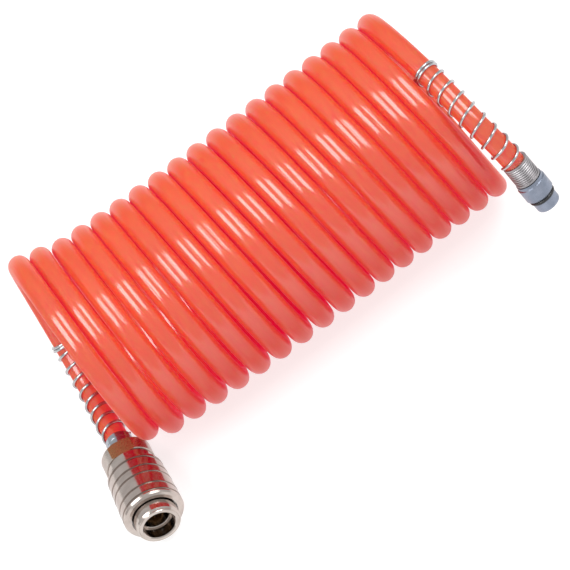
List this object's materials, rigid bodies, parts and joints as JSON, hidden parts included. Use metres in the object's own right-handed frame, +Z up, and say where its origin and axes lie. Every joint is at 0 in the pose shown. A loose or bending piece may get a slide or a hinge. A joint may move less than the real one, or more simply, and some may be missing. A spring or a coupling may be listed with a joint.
{
  "type": "coiled air hose",
  "caption": "Springy coiled air hose lying on its side, with a guard spring at each end, a sleeved quick coupler with valve and ball lock on one end and a swivelling plug nipple on the other.",
  "frame": {"origin": "middle of the flat under the tenth turn, on the table", "axes": "+X along the coil from the coupler end to the nipple end, -Y towards the side on which both fittings lie, +Z up"},
  "size_m": [0.1938, 0.1082, 0.0857],
  "materials": {
    "hose": "glossy translucent orange-red polyurethane",
    "spring_steel": "bright zinc-plated wire",
    "zinc_steel": "bright zinc-plated, turned",
    "nickel": "nickel-plated, smooth",
    "brass": "dull brass",
    "ball_steel": "polished",
    "black_rubber": "smooth black nitrile"
  },
  "bodies": {
    "hose": {"coil_tube": "hose", "coupler_tail_tube": "hose", "nipple_tail_tube": "hose", "coupler_guard_spring": "spring_steel", "nipple_guard_spring": "spring_steel", "coupler_ferrule": "zinc_steel", "wrench_adapter": "brass", "spigot_seal": "black_rubber", "coupler_body": "nickel", "plug_seal": "black_rubber", "sleeve_snap_ring": "spring_steel", "sleeve_spring": "spring_steel", "valve_spring": "spring_steel", "nipple_ferrule": "zinc_steel", "nipple_stem": "zinc_steel", "swivel_seal": "black_rubber"},
    "sleeve": {"release_sleeve": "nickel"},
    "valve": {"valve_poppet": "brass", "valve_seal": "black_rubber"},
    "swivel": {"nipple_body": "zinc_steel", "swivel_snap_ring": "spring_steel", "nose_ring": "black_rubber"},
    "ball_1": {"locking_ball_1": "ball_steel"},
    "ball_2": {"locking_ball_2": "ball_steel"},
    "ball_3": {"locking_ball_3": "ball_steel"},
    "ball_4": {"locking_ball_4": "ball_steel"}
  },
  "joints": [
    {"name": "sleeve_slide", "type": "slide", "parent": "hose", "child": "sleeve", "axis": [0.198, 0.978, -0.0652], "range_m": [0, 0.003], "stiffness_N_per_m": 2000, "springref_m": -0.003, "deforming": ["sleeve_spring"]},
    {"name": "valve_slide", "type": "slide", "parent": "hose", "child": "valve", "axis": [0.198, 0.978, -0.0652], "range_m": [0, 0.0024], "stiffness_N_per_m": 800, "springref_m": -0.002, "deforming": ["valve_spring"]},
    {"name": "nipple_swivel", "type": "hinge", "parent": "hose", "child": "swivel", "pos_m": [0.07259, -0.05516, 0.03774], "axis": [0.1037, -0.415, -0.9039], "continuous": true},
    {"name": "ball_1_shift", "type": "slide", "parent": "hose", "child": "ball_1", "axis": [0.0129, 0.0639, 0.9979], "range_m": [0, 0.00085]},
    {"name": "ball_2_shift", "type": "slide", "parent": "hose", "child": "ball_2", "axis": [-0.9801, 0.1984, 0], "range_m": [0, 0.00085]},
    {"name": "ball_3_shift", "type": "slide", "parent": "hose", "child": "ball_3", "axis": [-0.0129, -0.0639, -0.9979], "range_m": [0, 0.00085]},
    {"name": "ball_4_shift", "type": "slide", "parent": "hose", "child": "ball_4", "axis": [0.9801, -0.1984, 0], "range_m": [0, 0.00085]}
  ],
  "couplings": [
    {"joint": "ball_1_shift", "follows": "sleeve_slide", "ratio": 0.2833},
    {"joint": "ball_2_shift", "follows": "sleeve_slide", "ratio": 0.2833},
    {"joint": "ball_3_shift", "follows": "sleeve_slide", "ratio": 0.2833},
    {"joint": "ball_4_shift", "follows": "sleeve_slide", "ratio": 0.2833}
  ]
}
